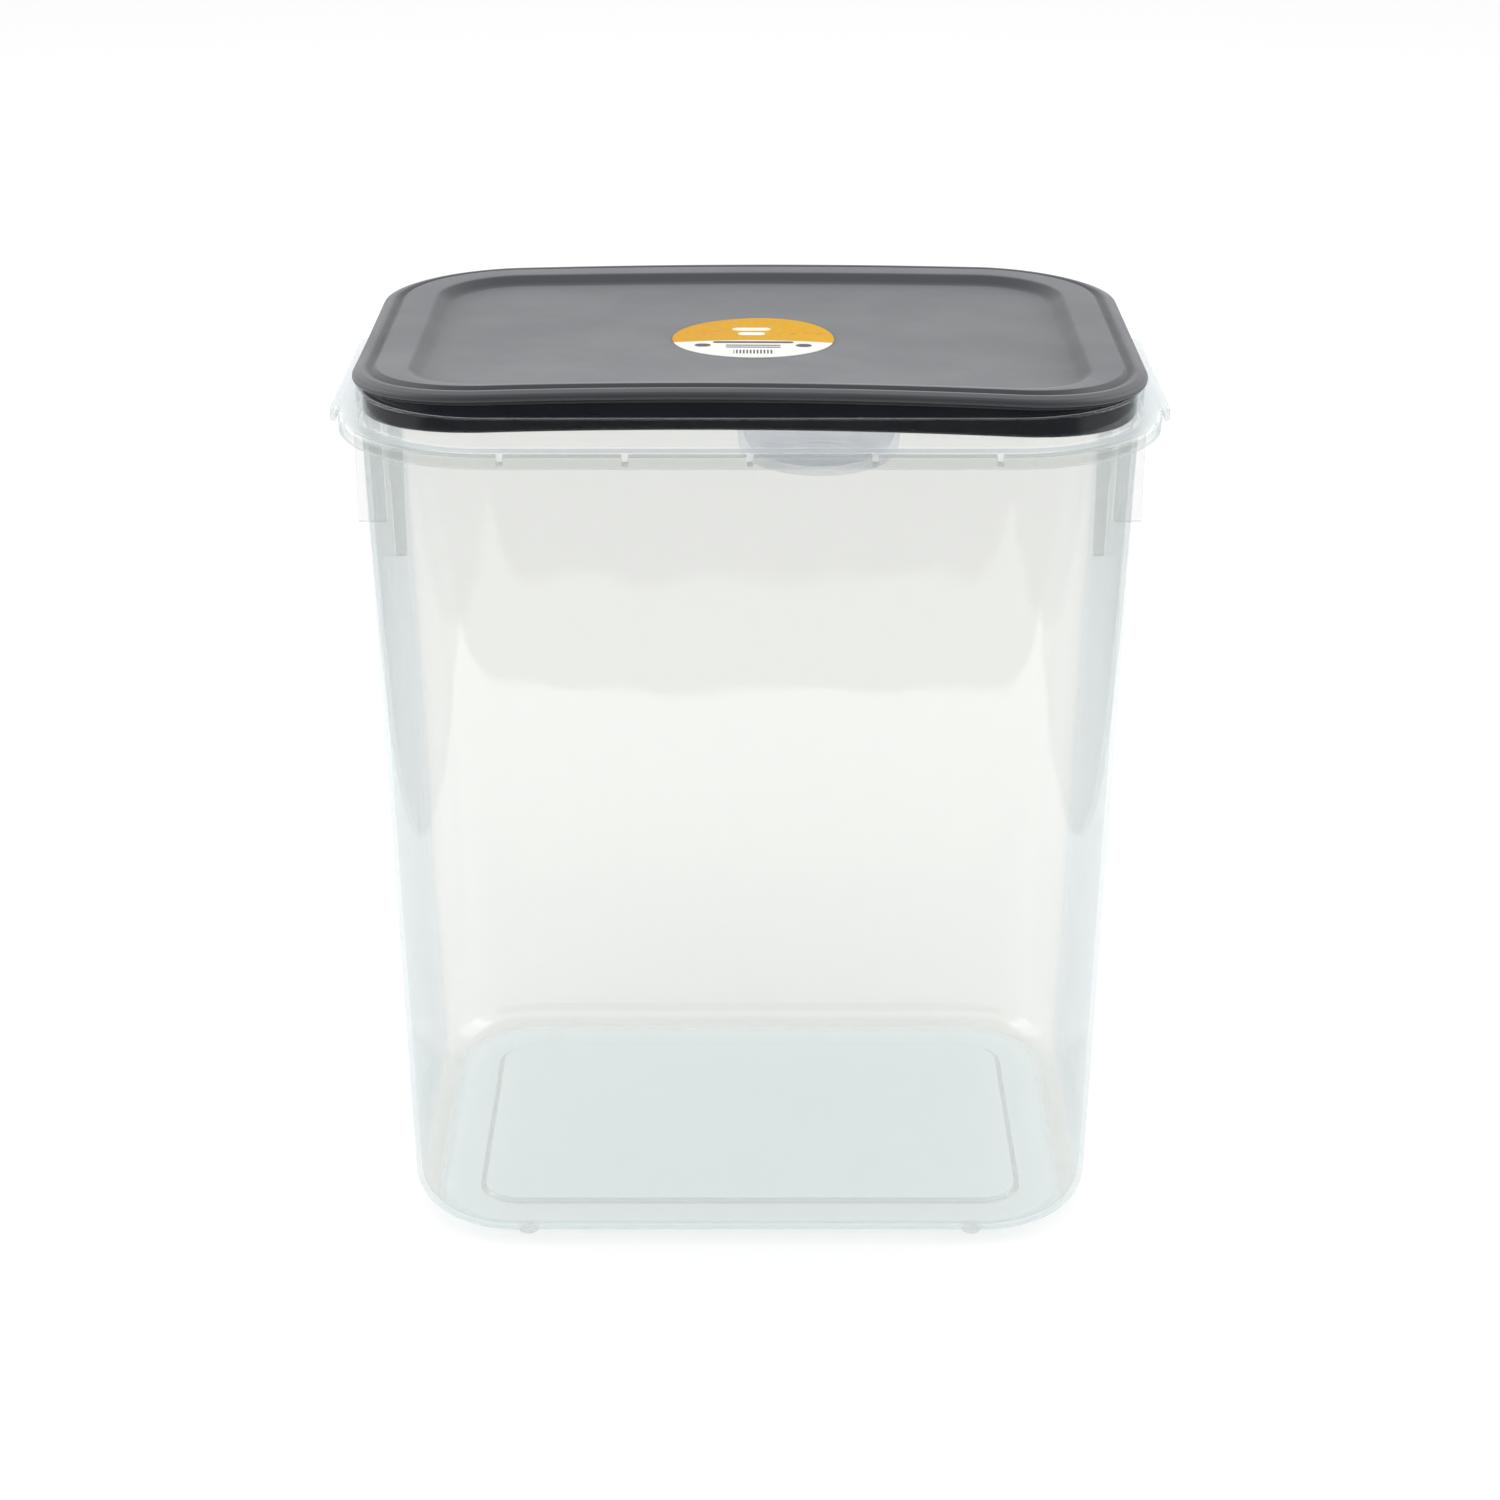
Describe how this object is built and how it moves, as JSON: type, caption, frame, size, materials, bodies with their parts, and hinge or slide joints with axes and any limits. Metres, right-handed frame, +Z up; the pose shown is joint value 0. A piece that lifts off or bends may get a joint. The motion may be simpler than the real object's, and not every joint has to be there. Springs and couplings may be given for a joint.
{
  "type": "food canister",
  "caption": "Tall rectangular translucent food canister with rounded corners, side grips, a press-in dark lid, and a scoop that hangs in rails under the lid.",
  "frame": {"origin": "on the surface the canister stands on, under the middle of its outline", "axes": "+Z up, along the canister's height; +X to the right along its wide side; -Y towards the viewer, so +Y is its depth"},
  "size_m": [0.2566, 0.1808, 0.2876],
  "materials": {
    "clear_plastic": "translucent, slightly milky, glossy",
    "lid_plastic": "fine matte grain on top, polished plug",
    "seal_rubber": "satin",
    "label_paper": "satin film sticker",
    "scoop_plastic": "translucent, satin"
  },
  "bodies": {
    "tub": {"canister_body": "clear_plastic"},
    "lid": {"lid": "lid_plastic", "seal_ring": "seal_rubber", "label": "label_paper"},
    "scoop": {"scoop": "scoop_plastic"}
  },
  "joints": [
    {"name": "lid_lift", "type": "slide", "parent": "tub", "child": "lid", "axis": [0, 0, 1], "range_m": [0, 0.2]},
    {"name": "scoop_slide", "type": "slide", "parent": "lid", "child": "scoop", "axis": [1, 0, 0], "range_m": [0, 0.05]}
  ]
}
